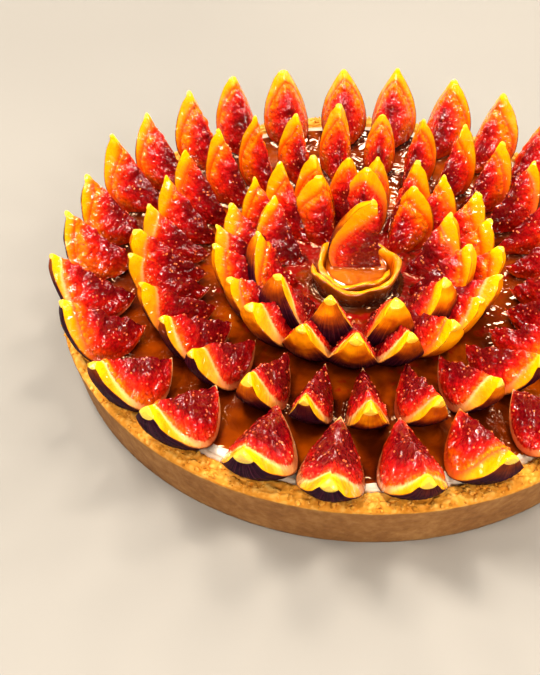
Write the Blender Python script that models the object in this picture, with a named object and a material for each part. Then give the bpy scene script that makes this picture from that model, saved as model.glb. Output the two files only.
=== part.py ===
"""Fig mascarpone tart, 26 cm across.

A shortcrust case holds a level layer of mascarpone cream. Wedges of fresh fig stand on the cream in four
rings, each wedge with its stem end up and out, its skin outwards and its cut edge inwards, so that the tart
opens like a dahlia. In the middle one wedge stands upright in a thin slice of fig that is rolled into a curl.

Metres, +Z up. The origin is at the centre of the crust's underside.
"""
import math

import bmesh
import bpy
import numpy as np
from mathutils import Matrix, Vector

# Crust: a straight-sided ring case
CASE_RADIUS = 0.130
CASE_FOOT_RADIUS = 0.1255
CASE_HEIGHT = 0.0256
CASE_BASE = 0.005
RIM_WIDTH = 0.0095
CASE_SEGMENTS = 168
RIM_CRUMB = 0.0016           # deepest pit in the crumbly top of the rim
WALL_CRUMB = 0.0003

# Cream and the gap between pieces that touch
GAP = 0.0003
CREAM_SEGMENTS = 72

# Figs
FIG_LENGTH = 0.0405          # blossom end to cut stem
FIG_RADIUS = 0.0200          # half the thickness at the belly
BELLY = 0.40                 # where the belly is, as a share of the length
FIG_SINK = 0.0016            # how far a wedge's skin is pressed into the cream
SKIN_COLUMNS = 5
SKIN_ROWS = (0.035, 0.12, 0.25, 0.42, 0.60, 0.76, 0.90, 1.0)

# Rings of wedges, from the outside in. Angles are in degrees, and the front of the tart is at 270.
# foot is the radius of the circle of blossom ends round the ring's own centre. lean is the mean angle of the
# stems over the cream, rock is what is added at the back and taken off at the front, and side is what is added
# at the left and the right. crowd lists where the wedges have been pushed along: by how much, round which
# angle and over what spread. fill is the share of its place in the ring that a wedge takes up at its belly,
# widest is the most that half of its slice may be, size is the ring's share of a whole fig's size, and front
# is how much thicker the wedges at the front are.
RINGS = {
    "outer": dict(count=27, first=90.9, centre=(-0.0013, -0.0026), foot=0.0960, lean=37.5, rock=16.0, side=9.0,
                  crowd=((-6.0, 195.0, 60.0),), fill=0.97, widest=46.0, size=1.0, front=0.10, seed=11),
    "second": dict(count=28, first=52.2, centre=(-0.0006, -0.0043), foot=0.0646, lean=45.0, rock=16.0, side=0.0,
                   crowd=((5.5, 142.0, 48.0), (-4.5, 230.0, 45.0)), fill=0.93, widest=44.0, size=0.96, front=0.01,
                   seed=23),
    "third": dict(count=21, first=75.0, centre=(-0.0019, -0.0074), foot=0.0308, lean=49.0, rock=14.0, side=-6.0,
                  crowd=((-5.0, 205.0, 30.0), (4.0, 290.0, 35.0)), fill=1.45, widest=40.0, size=0.93, front=0.0,
                  seed=37),
    "fourth": dict(count=11, first=78.6, centre=(-0.0020, -0.0082), foot=0.0232, lean=60.0, rock=8.0, side=0.0,
                   crowd=((12.0, 235.0, 85.0),), fill=1.3, widest=40.0, size=0.90, front=0.0, seed=41),
}
STEM = 0.25                  # radius of the cut stem as a share of the belly's
STEM_FRONT = 0.13            # what the low wedges at the front have more of
THICK_FRONT = (265.0, 55.0)  # where the thicker wedges lie, and over what spread
WIDE_STEMS = (270.0, 50.0)   # where the wider stems lie, and over what spread
FULLNESS = 1.75              # how long the fig stays thick between its belly and its stem

# Unevenness of handwork: the most that each measure of a wedge is off, in degrees or as a share
OFF = dict(place=0.9, turn=2.0, foot=0.008, lean=2.5, length=0.06, radius=0.03, roll=5.0, stem=0.06)

# Centre: an upright wedge in a curled slice
HEART = (-0.0013, -0.0078)
LEAF_FOOT = (0.0112, -0.0080)
LEAF_LENGTH = 0.0445
LEAF_RADIUS = 0.0232
LEAF_HALF_ANGLE = 16.0
LEAF_LEAN = 84.0
LEAF_STEM = 0.20
LEAF_FULLNESS = 1.9
CURL_RADIUS = 0.0182
CURL_PITCH = 0.0034
CURL_THICKNESS = 0.0026
CURL_HEIGHT = 0.0110
CURL_FLARE = 0.0018
CURL_TURNS = (180.0, 700.0)
CURL_STEPS = 44
CURL_WAVES = ((0.08, 2.3, 0.0), (0.06, 5.1, 1.0))    # height, waves per radian of turn, phase

CREAM_TOP = CASE_HEIGHT
FIG_FLOOR = CREAM_TOP + GAP


def clear_scene():
    """Remove every object that the file opened with."""
    for obj in list(bpy.data.objects):
        bpy.data.objects.remove(obj)


def material(name, colour, roughness):
    """A plain food surface: one Principled shader with the part's colour and roughness."""
    made = bpy.data.materials.get(name)
    if made is None:
        made = bpy.data.materials.new(name)
        made.use_nodes = True
        shader = made.node_tree.nodes["Principled BSDF"]
        shader.inputs["Base Color"].default_value = (*colour, 1.0)
        shader.inputs["Roughness"].default_value = roughness
        shader.inputs["Metallic"].default_value = 0.0
    return made


def add_object(name, bm, finish):
    """Make a named object from a bmesh, with its faces turned outwards."""
    bmesh.ops.recalc_face_normals(bm, faces=bm.faces)
    mesh = bpy.data.meshes.new(name)
    bm.to_mesh(mesh)
    bm.free()
    mesh.materials.append(finish)
    obj = bpy.data.objects.new(name, mesh)
    bpy.context.collection.objects.link(obj)
    return obj


def grid_faces(bm, rows, closed):
    """Join rows of vertices with quads; closed rows also join their last column to their first."""
    for low, high in zip(rows, rows[1:]):
        count = len(low)
        for i in range(count if closed else count - 1):
            j = (i + 1) % count
            bm.faces.new((low[i], low[j], high[j], high[i]))


# ---- crust and cream

def smooth_noise(rng, count, reach):
    """Random values from 0 to 1 round a circle, averaged over a few neighbours."""
    raw = rng.random(count)
    kernel = sum(np.roll(raw, shift) for shift in range(-reach, reach + 1))
    return kernel / (2 * reach + 1)


def build_crust():
    """The pastry case: a turned profile whose top edge is crumbly. Pits only go down and in."""
    rng = np.random.default_rng(5)
    inner = CASE_RADIUS - RIM_WIDTH
    turn = np.arange(CASE_SEGMENTS) * 2 * math.pi / CASE_SEGMENTS

    # radius, height, and how much of the crumb relief each row of the profile takes
    profile = (
        (CASE_FOOT_RADIUS - 0.0012, 0.0, 0.0),
        (CASE_FOOT_RADIUS, 0.0013, 0.0),
        (CASE_FOOT_RADIUS + 0.0020, CASE_HEIGHT * 0.48, 0.1),
        (CASE_RADIUS - 0.0003, CASE_HEIGHT - 0.0026, 0.3),
        (CASE_RADIUS - 0.0013, CASE_HEIGHT - 0.0004, 0.6),
        (CASE_RADIUS - 0.0040, CASE_HEIGHT, 1.0),
        (CASE_RADIUS - 0.0068, CASE_HEIGHT, 1.0),
        (inner + 0.0008, CASE_HEIGHT, 0.8),
        (inner, CASE_HEIGHT - 0.0022, 0.0),
        (inner, CASE_BASE, 0.0),
    )
    bm = bmesh.new()
    rows = []
    for radius, height, relief in profile:
        drop = relief * RIM_CRUMB * smooth_noise(rng, CASE_SEGMENTS, 1)
        wear = WALL_CRUMB * (smooth_noise(rng, CASE_SEGMENTS, 1) - 0.5) * (relief > 0)
        x = (radius + wear) * np.cos(turn)
        y = (radius + wear) * np.sin(turn)
        rows.append([bm.verts.new(point) for point in zip(x, y, height - drop)])
    grid_faces(bm, rows, closed=True)
    bm.faces.new(rows[0])
    bm.faces.new(rows[-1])
    return add_object("crust", bm, material("shortcrust", (0.66, 0.42, 0.20), 0.85))


def build_cream():
    """The mascarpone filling, level with the rim: a disc whose upper edge is a little rounded."""
    radius = CASE_RADIUS - RIM_WIDTH - GAP
    bm = bmesh.new()
    rows = []
    for r, z in ((radius, CASE_BASE + GAP), (radius, CREAM_TOP - 0.0024), (radius - 0.0009, CREAM_TOP - 0.0004),
                 (radius - 0.0030, CREAM_TOP)):
        ring = []
        for i in range(CREAM_SEGMENTS):
            turn = 2 * math.pi * i / CREAM_SEGMENTS
            ring.append(bm.verts.new((r * math.cos(turn), r * math.sin(turn), z)))
        rows.append(ring)
    grid_faces(bm, rows, closed=True)
    bm.faces.new(rows[0])
    bm.faces.new(rows[-1])
    return add_object("mascarpone_cream", bm, material("mascarpone", (0.90, 0.80, 0.66), 0.45))


# ---- fig wedges

def fig_outline(t, stem, fullness):
    """Half the fig's thickness, as a share of the belly's: a quarter ellipse up to the belly, then a
    power curve that narrows to the cut stem."""
    if t <= BELLY:
        return math.sqrt(max(0.0, 1.0 - ((BELLY - t) / BELLY) ** 2))
    x = (t - BELLY) / (1.0 - BELLY)
    return stem + (1.0 - stem) * (1.0 - x ** fullness)


def bump(angle, centre, spread):
    """A bell curve round the circle, 1 at its centre, in degrees."""
    away = (angle - centre + 180.0) % 360.0 - 180.0
    return math.exp(-(away / spread) ** 2)


def crowded(ring, number):
    """The angle of a wedge round its ring: even steps, pushed along where the ring is crowded."""
    angle = ring["first"] + 360.0 * number / ring["count"]
    return angle + sum(push * bump(angle, centre, spread) for push, centre, spread in ring["crowd"])


def slice_half_angle(ring, room, foot, lean, length, radius):
    """Half of the slice of fig that a wedge takes: as wide as its place in the ring allows at the belly."""
    belly = foot + BELLY * length * math.cos(math.radians(lean))
    share = ring["fill"] * math.radians(room) * belly / (2.0 * radius)
    return min(ring["widest"], math.degrees(math.asin(min(1.0, share))))


def ring_wedges(ring):
    """Where each wedge of a ring stands and how big it is, with the small unevenness of handwork."""
    count = ring["count"]
    jitters = np.random.default_rng(ring["seed"]).uniform(-1.0, 1.0, (count, 8))
    angles = [crowded(ring, i) + OFF["place"] * jitters[i][0] for i in range(count)]
    wedges = []
    for i, (angle, jitter) in enumerate(zip(angles, jitters)):
        before, after = (angle - angles[i - 1]) % 360.0, (angles[(i + 1) % count] - angle) % 360.0
        room = 0.5 * min(before, after) + 0.25 * (before + after)
        away = Vector((math.cos(math.radians(angle)), math.sin(math.radians(angle)))) * ring["foot"]
        big = ring["size"] * (1.0 + ring["front"] * bump(angle, *THICK_FRONT))
        lean = (ring["lean"] + ring["rock"] * math.sin(math.radians(angle))
                + ring["side"] * math.cos(math.radians(angle)) ** 2 + OFF["lean"] * jitter[3])
        length = FIG_LENGTH * ring["size"] * (1.0 + OFF["length"] * jitter[4])
        radius = FIG_RADIUS * big * (1.0 + OFF["radius"] * jitter[5])
        wedges.append(dict(
            angle=angle + OFF["turn"] * jitter[1],
            foot=Vector(ring["centre"]) + away * (1.0 + OFF["foot"] * jitter[2]),
            lean=lean,
            length=length,
            radius=radius,
            half_angle=slice_half_angle(ring, room, ring["foot"], lean, length, radius),
            roll=OFF["roll"] * jitter[6],
            stem=STEM + STEM_FRONT * bump(angle, *WIDE_STEMS) + OFF["stem"] * jitter[7],
            fullness=FULLNESS,
        ))
    return wedges


def wedge_frame(lean, angle, roll):
    """Axes of a wedge: X to the middle of its skin, Z along the fig from blossom to stem."""
    out = Vector((math.cos(math.radians(angle)), math.sin(math.radians(angle)), 0.0))
    up = Vector((0.0, 0.0, 1.0))
    tilt = math.radians(lean)
    stem = out * math.cos(tilt) + up * math.sin(tilt)
    skin = out * math.sin(tilt) - up * math.cos(tilt)
    side = stem.cross(skin)
    frame = Matrix((skin, side, stem)).transposed()
    return frame @ Matrix.Rotation(math.radians(roll), 3, "Z")


def wedge_bmesh(wedge):
    """One wedge of fig: a rounded skin, two flat cut faces that meet on the fig's axis, and a flat foot.

    It is lowered until its skin is pressed into the cream, and the pressed part is cut off level.
    """
    bm = bmesh.new()
    length = wedge["length"]
    half = math.radians(wedge["half_angle"])
    blossom = bm.verts.new((0.0, 0.0, 0.0))
    stem = bm.verts.new((0.0, 0.0, length))
    rows = []
    for t in SKIN_ROWS:
        radius = wedge["radius"] * fig_outline(t, wedge["stem"], wedge["fullness"])
        row = []
        for i in range(SKIN_COLUMNS):
            turn = half * (2.0 * i / (SKIN_COLUMNS - 1) - 1.0)
            row.append(bm.verts.new((radius * math.cos(turn), radius * math.sin(turn), length * t)))
        rows.append(row)
    grid_faces(bm, rows, closed=False)
    for left, right in zip(rows[0], rows[0][1:]):
        bm.faces.new((blossom, right, left))
    for side in (0, -1):
        bm.faces.new([blossom] + [row[side] for row in rows] + [stem])
    bm.faces.new([stem] + rows[-1])

    frame = wedge_frame(wedge["lean"], wedge["angle"], wedge["roll"])
    bm.transform(frame.to_4x4())
    place = Vector((*wedge["foot"], FIG_FLOOR - FIG_SINK - min(vert.co.z for vert in bm.verts)))
    bmesh.ops.translate(bm, verts=bm.verts, vec=place)

    everything = bm.verts[:] + bm.edges[:] + bm.faces[:]
    cut = bmesh.ops.bisect_plane(bm, geom=everything, dist=1e-7, plane_co=(0.0, 0.0, FIG_FLOOR),
                                 plane_no=(0.0, 0.0, 1.0), clear_inner=True)
    edges = [item for item in cut["geom_cut"] if isinstance(item, bmesh.types.BMEdge)]
    bmesh.ops.contextual_create(bm, geom=edges)
    return bm


def fuse(name, pieces):
    """Join pieces that touch into one solid with one Boolean union, and remove the loose pieces."""
    first, rest = pieces[0], pieces[1:]
    group = bpy.data.collections.new(name)
    bpy.context.scene.collection.children.link(group)
    for piece in rest:
        group.objects.link(piece)
        bpy.context.collection.objects.unlink(piece)
    union = first.modifiers.new("union", "BOOLEAN")
    union.operation = "UNION"
    union.operand_type = "COLLECTION"
    union.collection = group
    union.solver = "EXACT"
    depsgraph = bpy.context.evaluated_depsgraph_get()
    joined = bpy.data.meshes.new_from_object(first.evaluated_get(depsgraph))
    first.modifiers.clear()
    first.data = joined
    first.name = name
    for piece in rest:
        bpy.data.objects.remove(piece)
    bpy.data.collections.remove(group)
    return first


def build_rings():
    """The two outer rings as single wedges, and the two inner rings, whose wedges lean on each other, as
    one fused rosette."""
    flesh = material("fig_flesh", (0.62, 0.06, 0.03), 0.25)
    for name in ("outer", "second"):
        for number, wedge in enumerate(ring_wedges(RINGS[name]), start=1):
            add_object(f"fig_{name}_{number:02d}", wedge_bmesh(wedge), flesh)
    inner = ring_wedges(RINGS["third"]) + ring_wedges(RINGS["fourth"])
    pieces = [add_object(f"fig_inner_{i:02d}", wedge_bmesh(wedge), flesh) for i, wedge in enumerate(inner)]
    fuse("fig_inner_rings", pieces)


# ---- centre

def build_leaf():
    """The upright wedge in the middle; one of its cut faces looks to the front."""
    leaf = dict(foot=LEAF_FOOT, angle=180.0 - LEAF_HALF_ANGLE, lean=LEAF_LEAN, length=LEAF_LENGTH,
                radius=LEAF_RADIUS, half_angle=LEAF_HALF_ANGLE, roll=0.0, stem=LEAF_STEM,
                fullness=LEAF_FULLNESS)
    return add_object("fig_centre_wedge", wedge_bmesh(leaf), material("fig_centre", (0.66, 0.08, 0.03), 0.25))


def build_curl():
    """A thin slice rolled into a loose spiral that leans outwards, with a wavy upper edge."""
    bm = bmesh.new()
    rows = []
    start, stop = CURL_TURNS
    for i in range(CURL_STEPS + 1):
        degrees = start + (stop - start) * i / CURL_STEPS
        turn = math.radians(degrees)
        radius = CURL_RADIUS - CURL_PITCH * (degrees - start) / 360.0
        waves = sum(share * math.sin(per_turn * turn + phase) for share, per_turn, phase in CURL_WAVES)
        height = CURL_HEIGHT * (1.0 + waves)
        row = []
        for side, z in ((0.5, 0.0), (0.5, height), (-0.5, height), (-0.5, 0.0)):
            r = radius + side * CURL_THICKNESS + CURL_FLARE * (z / CURL_HEIGHT - 0.5)
            across = Vector(HEART) + r * Vector((math.cos(turn), math.sin(turn)))
            row.append(bm.verts.new((*across, FIG_FLOOR + z)))
        rows.append(row)
    for a, b in zip(rows, rows[1:]):
        for i in range(4):
            j = (i + 1) % 4
            bm.faces.new((a[i], a[j], b[j], b[i]))
    bm.faces.new(rows[0])
    bm.faces.new(rows[-1])
    return add_object("fig_centre_curl", bm, material("fig_curl", (0.80, 0.36, 0.05), 0.3))


def main():
    clear_scene()
    build_crust()
    build_cream()
    build_rings()
    build_leaf()
    build_curl()


main()
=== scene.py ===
# %% [markdown]
# # A fig and mascarpone tart, dressed in Blender
# The solids of the tart are already made: a shortcrust case, a disc of mascarpone cream, and wedges of fresh
# fig that stand in four rings round a rolled slice. Here each of them gets the surface of the real thing:
# crumbly pastry, pulp with seeds, purple skin and a wet, clear fruit glaze. First the solids are loaded, as
# a fixed frame that every new piece has to fit.

# %% The frame
import itertools
import math
from types import SimpleNamespace

import bpy
import numpy as np
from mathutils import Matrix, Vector


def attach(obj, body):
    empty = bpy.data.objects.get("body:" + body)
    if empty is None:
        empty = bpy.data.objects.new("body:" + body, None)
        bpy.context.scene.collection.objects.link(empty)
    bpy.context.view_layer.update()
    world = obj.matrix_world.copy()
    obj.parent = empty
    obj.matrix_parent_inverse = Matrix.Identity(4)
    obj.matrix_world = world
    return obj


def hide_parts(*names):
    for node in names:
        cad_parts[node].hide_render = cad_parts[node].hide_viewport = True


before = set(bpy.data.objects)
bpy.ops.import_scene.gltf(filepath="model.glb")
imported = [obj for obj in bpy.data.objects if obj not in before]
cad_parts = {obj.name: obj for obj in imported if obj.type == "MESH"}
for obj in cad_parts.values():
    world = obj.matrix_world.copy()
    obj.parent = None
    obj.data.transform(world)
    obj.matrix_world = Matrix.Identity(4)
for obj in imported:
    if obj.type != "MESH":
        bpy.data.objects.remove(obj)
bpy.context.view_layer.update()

# %% [markdown]
# ## The camera
# It looks down at the tart by 44 degrees from the front, a little to the left of the middle, so that the
# right side of the tart runs out of the frame. Heights and widths are shares of the tart's radius.

# %% Camera
TART_RADIUS = 0.130
ELEVATION = 43.77
AIM = Vector((-0.2948 * TART_RADIUS, -0.1218 * TART_RADIUS, 0.0))
DISTANCE = 3.4427 * TART_RADIUS
SENSOR = 36.0                    # mm
FOCAL_SHARE = 1000.0 / 675.0     # focal length as a share of the picture's long side

eye = bpy.data.cameras.new("camera")
eye.sensor_width = SENSOR
eye.lens = SENSOR * FOCAL_SHARE
eye.clip_start, eye.clip_end = 0.01, 20.0
camera = bpy.data.objects.new("camera", eye)
bpy.context.scene.collection.objects.link(camera)
camera.rotation_euler = (math.radians(90.0 - ELEVATION), 0.0, 0.0)
back = Vector((0.0, -math.cos(math.radians(ELEVATION)), math.sin(math.radians(ELEVATION))))
camera.location = AIM + back * DISTANCE
bpy.context.scene.camera = camera
print("camera at", [round(value, 3) for value in camera.location], "lens", round(eye.lens, 1), "mm")

# %% [markdown]
# ## Tools for surfaces
# Every surface here is a grid of points that numpy works out in one go, so the tools are few: smooth random
# values for unevenness, and one function that turns points and faces into a mesh.

# %% Random relief
SPREADERS, MIXER = (374761393, 668265263, 1442695041, 974634777), 1274126177
LOW_32_BITS, LOW_24_BITS = 0xFFFFFFFF, 0xFFFFFF
MM = 1000.0                      # millimetres in a metre


def cell_value(x, y, z, seed):
    """A repeatable random value from 0 to 1 for each whole-number cell: its three numbers and the seed are
    multiplied by large odd numbers, added, and mixed by shifts."""
    mixed = sum(part * spreader for part, spreader in zip((x, y, z, seed), SPREADERS)) & LOW_32_BITS
    mixed = ((mixed ^ (mixed >> 13)) * MIXER) & LOW_32_BITS
    return ((mixed ^ (mixed >> 16)) & LOW_24_BITS) / LOW_24_BITS


def relief(points, cell, seed=0):
    """Smooth random values from -1 to 1: the values at the eight corners of a cube of size cell, blended
    by how near the point is to each corner."""
    scaled = np.asarray(points) / cell
    whole = np.floor(scaled).astype(np.int64)
    part = scaled - whole
    part = part * part * (3.0 - 2.0 * part)
    total = 0.0
    for corner in itertools.product((0, 1), repeat=3):
        near = np.prod(np.where(np.array(corner, bool), part, 1.0 - part), axis=-1)
        x, y, z = np.moveaxis(whole + np.array(corner), -1, 0)
        total = total + near * cell_value(x, y, z, seed)
    return 2.0 * total - 1.0


def rough(points, cell, octaves, seed=0):
    """Relief of several sizes added up: each next one is half as large and half as high."""
    layers = [relief(points, cell / 2 ** i, seed + 31 * i) / 2 ** i for i in range(octaves)]
    return sum(layers) / sum(1 / 2 ** i for i in range(octaves))


def pebbles(points, cell, seed=0):
    """Rounded bumps from 0 to 1: one random spot lies in each cube of size cell, and the value is 1 less
    the distance to the nearest spot, in cubes."""
    scaled = np.asarray(points) / cell
    whole = np.floor(scaled).astype(np.int64)
    nearest = np.full(scaled.shape[:-1], 9.0)
    for corner in itertools.product((-1, 0, 1), repeat=3):
        cube = whole + np.array(corner)
        x, y, z = np.moveaxis(cube, -1, 0)
        spot = cube + np.stack([cell_value(x, y, z, seed + k) for k in range(3)], axis=-1)
        nearest = np.minimum(nearest, ((scaled - spot) ** 2).sum(-1))
    return np.clip(1.0 - np.sqrt(nearest), 0.0, 1.0)


def smooth_step(value, low, high):
    """0 below low, 1 above high, and an S curve between them."""
    x = np.clip((value - low) / (high - low), 0.0, 1.0)
    return x * x * (3.0 - 2.0 * x)


print("relief at 5 mm:", np.round(relief(np.linspace(0.0, 0.01, 12).reshape(4, 3), 0.005), 2))

# %% [markdown]
# A grid of points becomes a surface when neighbours are joined by quads. Where the first or the last row of a
# closed grid runs together in one point, a fan of triangles closes it. A closed surface has an inside, so its
# volume tells whether its faces look outwards, and turns them round if they don't.

# %% Meshes
def grid_quads(rows, columns, closed):
    """Quads between the points of a grid that is numbered row by row; a closed grid's last column meets
    its first."""
    row = np.arange(rows - 1)[:, None] * columns
    i = np.arange(columns if closed else columns - 1)[None, :]
    j = (i + 1) % columns
    return np.stack([row + i, row + j, row + columns + j, row + columns + i], axis=-1).reshape(-1, 4)


def fan(centre, ring):
    """Triangles from one point to a closed ring of points."""
    return np.stack([np.full(len(ring), centre), ring, np.roll(ring, -1)], axis=-1)


def closed_faces(rows, columns):
    """The faces of a closed grid whose first and last rows each run together in one point; these two points
    come after the points of the grid."""
    ring = np.arange(columns)
    first, last = fan(rows * columns, ring[::-1]), fan(rows * columns + 1, ring + (rows - 1) * columns)
    return grid_quads(rows, columns, closed=True), np.concatenate([first, last])


def signed_volume(points, quads, triangles):
    """A third of the sum, over all triangles, of a corner times the triangle's area vector."""
    three = np.concatenate([quads[:, [0, 1, 2]], quads[:, [0, 2, 3]], triangles])
    a, b, c = points[three[:, 0]], points[three[:, 1]], points[three[:, 2]]
    return float(np.sum(a * np.cross(b, c)) / 6.0)


def make_piece(name, points, quads, triangles, finish, replaced=(), values=None, uv=None):
    """Put a closed surface into a mesh with its faces outwards, give it its finish and its values per point,
    and let it ride on the tart in place of the solids that it stands for."""
    if signed_volume(points, quads, triangles) < 0.0:
        quads, triangles = quads[:, ::-1], triangles[:, ::-1]
    corners = np.concatenate([quads.ravel(), triangles.ravel()]).astype(np.int32)
    starts = np.concatenate([np.arange(len(quads)) * 4, len(quads) * 4 + np.arange(len(triangles)) * 3])
    mesh = bpy.data.meshes.new(name)
    mesh.vertices.add(len(points))
    mesh.vertices.foreach_set("co", np.asarray(points, np.float32).ravel())
    mesh.loops.add(len(corners))
    mesh.loops.foreach_set("vertex_index", corners)
    mesh.polygons.add(len(starts))
    mesh.polygons.foreach_set("loop_start", starts.astype(np.int32))
    mesh.update(calc_edges=True)
    mesh.validate()
    mesh.shade_smooth()
    for key, value in (values or {}).items():
        held = mesh.attributes.new(key, "FLOAT", "POINT")
        held.data.foreach_set("value", np.asarray(value, np.float32).ravel())
    if uv is not None:
        layer = mesh.uv_layers.new(name="fan")
        layer.data.foreach_set("uv", np.asarray(uv, np.float32)[corners].ravel())
    mesh.materials.append(finish)
    piece = bpy.data.objects.new(name, mesh)
    bpy.context.scene.collection.objects.link(piece)
    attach(piece, "root")
    if replaced:
        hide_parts(*replaced)


print("a grid of 3 by 4 points has", len(grid_quads(3, 4, closed=False)), "quads")

# %% [markdown]
# ## Tools for finishes
# A finish is a tree of shader nodes. These short helpers make one node each and join it to the ones before,
# so that a finish reads like a recipe.

# %% Node helpers
def colour(text):
    """A colour written as in a paint program, turned into the linear light values that Blender mixes."""
    part = np.array([int(text[i:i + 2], 16) for i in (1, 3, 5)]) / 255.0
    return (*np.where(part <= 0.04045, part / 12.92, ((part + 0.055) / 1.055) ** 2.4).tolist(), 1.0)


def node(tree, kind, values=None, **settings):
    """Add a node; a value that is a socket is joined to its input, and any other value is set on it."""
    made = tree.nodes.new("ShaderNode" + kind)
    for key, value in settings.items():
        setattr(made, key, value)
    for key, value in (values or {}).items():
        if isinstance(value, bpy.types.NodeSocket):
            tree.links.new(value, made.inputs[key])
        else:
            made.inputs[key].default_value = value
    return made


def sums(tree, operation, *values):
    """One step of arithmetic on numbers or sockets."""
    return node(tree, "Math", dict(enumerate(values)), operation=operation).outputs[0]


def scaled(tree, value, gain):
    """A value times a gain."""
    return sums(tree, "MULTIPLY", value, gain)


def offset(tree, value, middle, gain):
    """A value's distance from its middle, times a gain."""
    return scaled(tree, sums(tree, "SUBTRACT", value, middle), gain)


def added(tree, *values):
    """The sum of several values."""
    total = values[0]
    for value in values[1:]:
        total = sums(tree, "ADD", total, value)
    return total


def field(tree, name):
    """A value that the mesh holds at each of its points."""
    return node(tree, "Attribute", attribute_name=name).outputs["Fac"]


def grain(tree, where, scale, detail=3.0, roughness=0.55, distortion=0.0):
    """Noise from 0 to 1 at the given place; scale is in grains per metre."""
    return node(tree, "TexNoise", {"Vector": where, "Scale": scale, "Detail": detail, "Roughness": roughness,
                                   "Distortion": distortion}).outputs["Fac"]


def between(tree, value, low, high, low_out=0.0, high_out=1.0):
    """Carry the range from low to high over to another range, smoothly and with its ends held."""
    return node(tree, "MapRange", {"Value": value, "From Min": low, "From Max": high, "To Min": low_out,
                                   "To Max": high_out}, interpolation_type="SMOOTHSTEP").outputs[0]


def blend(tree, share, first, second, kind="MIX"):
    """Mix two colours by a share from 0 to 1."""
    return node(tree, "Mix", {0: share, 6: first, 7: second}, data_type="RGBA", blend_type=kind).outputs[2]


def ramp(tree, value, *stops):
    """A run of colours along a value: each stop is a place from 0 to 1 and a colour."""
    made = node(tree, "ValToRGB", {0: value})
    elements = made.color_ramp.elements
    for i, (place, tint) in enumerate(stops):
        element = elements[i] if i < 2 else elements.new(place)
        element.position, element.color = place, colour(tint)
    return made.outputs["Color"]


def bumped(tree, height, strength, distance):
    """Tilt the surface by a height; distance is how high 1 is, in metres."""
    return node(tree, "Bump", {"Height": height, "Strength": strength, "Distance": distance}).outputs[0]


def new_finish(name):
    """An empty finish: its tree, its shader, and the place of each point on the object."""
    made = bpy.data.materials.new(name)
    made.use_nodes = True
    tree = made.node_tree
    shader = tree.nodes["Principled BSDF"]
    place = node(tree, "TexCoord").outputs["Object"]
    return made, tree, shader, place


def finish_with(tree, shader, **values):
    """Set the shader's sockets; the underscores in a name stand for spaces."""
    for key, value in values.items():
        socket = shader.inputs[key.replace("_", " ")]
        if isinstance(value, bpy.types.NodeSocket):
            tree.links.new(value, socket)
        else:
            socket.default_value = value


print("golden pastry in linear light:", np.round(colour("#d9a24c"), 3))

# %% [markdown]
# ## Finish: ripe fig under glaze
# One finish serves every wedge, because each wedge's mesh says at each point what is there: how far the
# point is from the border of the red pulp, how far along the fig it is, and whether it is skin. The pulp's
# fibres run out from its middle, so they are drawn on a map whose first axis is the angle round that middle.
# A second, smooth bump belongs to the clear coat alone: glaze lies thicker than the flesh is rough. Under
# the coat the flesh has no shine of its own, or it would look dusty from the side.

# %% Fig finish: the patterns
FIBRE_STRETCH, STREAK_STRETCH = (6.5, 0.30, 1.0), (26.0, 0.10, 1.0)      # across the angle, along the reach
FIBRE_SCALE, STREAK_SCALE = 2.4, 1.6
GRAIN_SCALE, SAC_SCALE, RIPPLE_SCALE, CLOUD_SCALE = 620.0, 640.0, 140.0, 150.0      # per metre
FRAY_BY_FIBRES, FRAY_BY_GRAINS = 2.8, 1.0      # mm


def fig_patterns(tree, place):
    """The values that the mesh holds, and the patterns that the parts of the finish share: fibres of the
    pulp, streaks of the skin, grains, clouds and sacs. The border of the pulp is frayed by its fibres."""
    names = ("along", "border", "skin", "rind", "tone", "dusk", "soak")
    at = SimpleNamespace(**{name: field(tree, name) for name in names})
    fan_map = node(tree, "UVMap", uv_map="fan").outputs[0]
    fibre_map = node(tree, "Mapping", {"Vector": fan_map, "Scale": FIBRE_STRETCH}).outputs[0]
    streak_map = node(tree, "Mapping", {"Vector": fan_map, "Scale": STREAK_STRETCH}).outputs[0]
    at.fibres = grain(tree, fibre_map, FIBRE_SCALE, detail=3.0, roughness=0.6, distortion=0.5)
    at.streaks = grain(tree, streak_map, STREAK_SCALE, detail=4.0, roughness=0.65, distortion=0.3)
    at.grains = grain(tree, place, GRAIN_SCALE, detail=3.0, roughness=0.6)
    at.clouds = grain(tree, place, CLOUD_SCALE, detail=2.0, roughness=0.5)
    at.ripples = grain(tree, place, RIPPLE_SCALE, detail=2.0, roughness=0.42, distortion=1.0)
    at.sacs = node(tree, "TexVoronoi", {"Vector": place, "Scale": SAC_SCALE}).outputs["Distance"]
    at.frayed = added(tree, at.border, offset(tree, at.fibres, 0.5, FRAY_BY_FIBRES),
                      offset(tree, at.grains, 0.5, FRAY_BY_GRAINS))
    return at


print("fibres, streaks, grains, clouds, ripples and sacs, frayed by", FRAY_BY_FIBRES, "mm")

# %% [markdown]
# The pulp is orange by the flesh and crimson in the deep and towards the blossom end. The flesh is fresh or
# soaked with glaze: fresh flesh has a pale line by the pulp and is then cream and clear yellow, and soaked
# flesh runs from red over orange to amber. The skin is purple, brown and then yellow towards the stem.

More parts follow.
